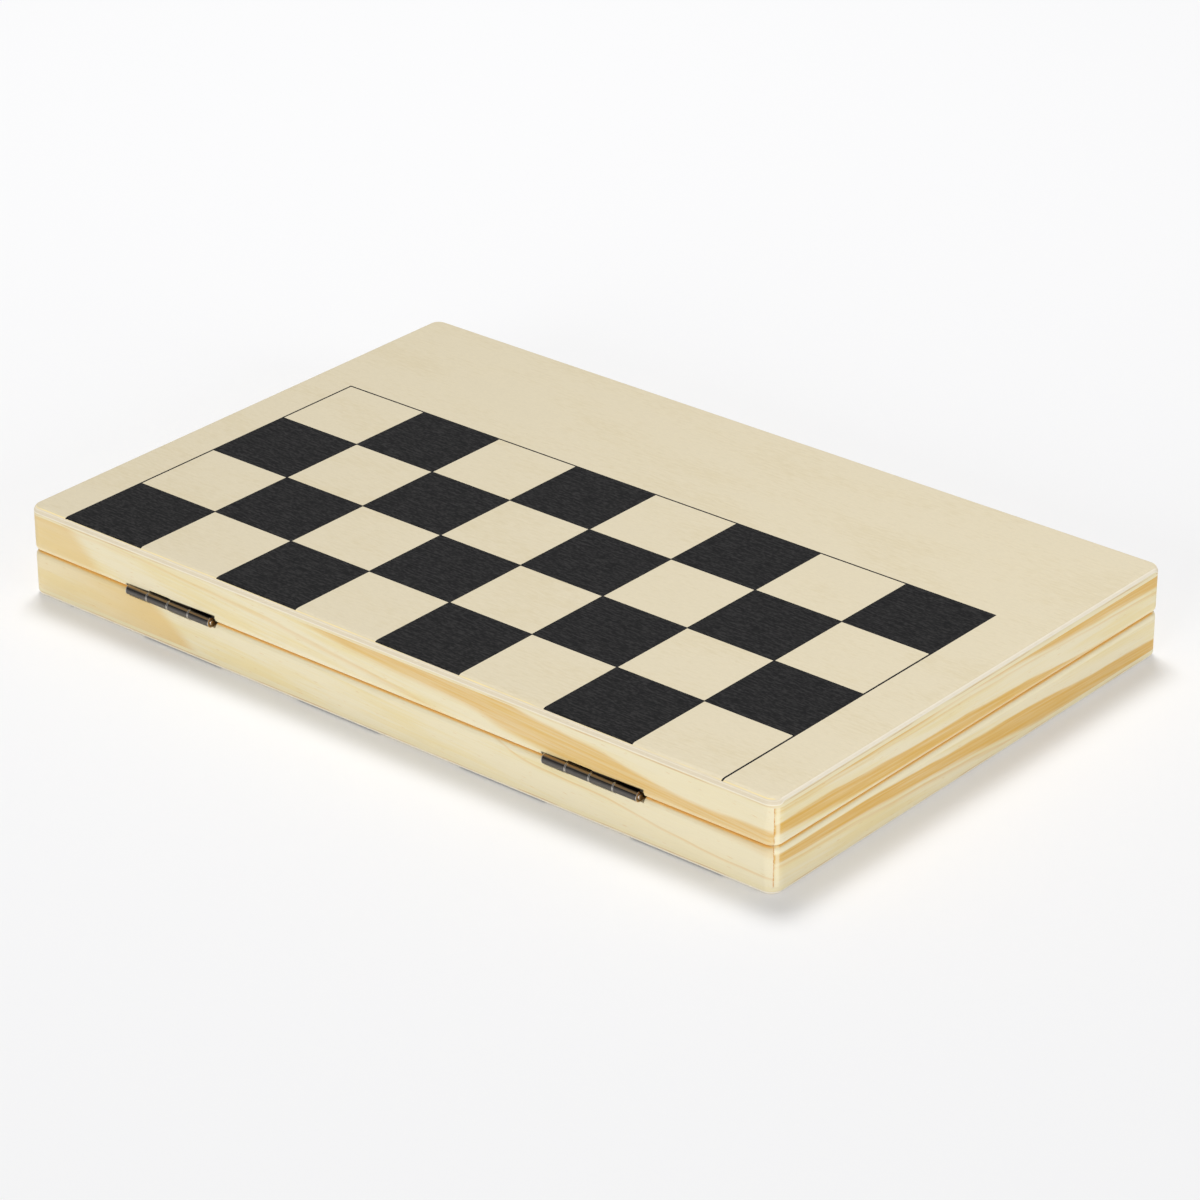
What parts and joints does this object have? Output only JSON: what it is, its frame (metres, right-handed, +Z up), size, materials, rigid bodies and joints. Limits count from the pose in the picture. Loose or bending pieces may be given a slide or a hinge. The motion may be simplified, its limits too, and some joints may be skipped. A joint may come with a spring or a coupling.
{
  "type": "travel chess set",
  "caption": "Flat wooden folding case in two hinged halves, with half a chess board printed on each outer face and turned wooden chessmen lying inside.",
  "frame": {"origin": "centre of the closed case's underside", "axes": "+X along the case, -Y towards the hinges, +Y towards the latch, +Z up out of the lid"},
  "size_m": [0.2, 0.1331, 0.021],
  "materials": {
    "birch_plywood": "pale sanded three-ply with a thin clear coat",
    "black_print": "matt black print that follows the grain",
    "pine": "pale pine with orange late-wood bands, thin satin coat",
    "dark_bronze": "dark antique bronze plating, half gloss",
    "light_turned_wood": "turned pale hardwood, satin lacquer",
    "black_turned_wood": "turned hardwood stained black, satin lacquer"
  },
  "bodies": {
    "base_tray": {"base_panel": "birch_plywood", "base_print": "black_print", "base_frame_hinge_side": "pine", "base_frame_latch_side": "pine", "base_frame_left": "pine", "base_frame_right": "pine", "hinge_left_base_leaf": "dark_bronze", "hinge_right_base_leaf": "dark_bronze", "hinge_left_pin": "dark_bronze", "hinge_right_pin": "dark_bronze", "hinge_screws_base": "dark_bronze", "latch_catch_stud": "dark_bronze", "light_pawns": "light_turned_wood", "light_rooks": "light_turned_wood", "light_knights": "light_turned_wood", "light_bishops": "light_turned_wood", "light_queen": "light_turned_wood", "light_king": "light_turned_wood", "dark_pawns": "black_turned_wood", "dark_rooks": "black_turned_wood", "dark_knights": "black_turned_wood", "dark_bishops": "black_turned_wood", "dark_queen": "black_turned_wood", "dark_king": "black_turned_wood"},
    "lid_tray": {"lid_panel": "birch_plywood", "lid_print": "black_print", "lid_frame_hinge_side": "pine", "lid_frame_latch_side": "pine", "lid_frame_left": "pine", "lid_frame_right": "pine", "hinge_left_lid_leaf": "dark_bronze", "hinge_right_lid_leaf": "dark_bronze", "hinge_screws_lid": "dark_bronze", "latch_pivot_screw": "dark_bronze"},
    "hook": {"latch_hook": "dark_bronze"}
  },
  "joints": [
    {"name": "lid_hinge", "type": "hinge", "parent": "base_tray", "child": "lid_tray", "pos_m": [0, -0.0651, 0.0105], "axis": [1, 0, 0], "range_deg": [0, 180]},
    {"name": "latch_swing", "type": "hinge", "parent": "lid_tray", "child": "hook", "pos_m": [-0.0037, 0.0655, 0.0168], "axis": [0, -1, 0], "range_deg": [-90, 35]}
  ]
}
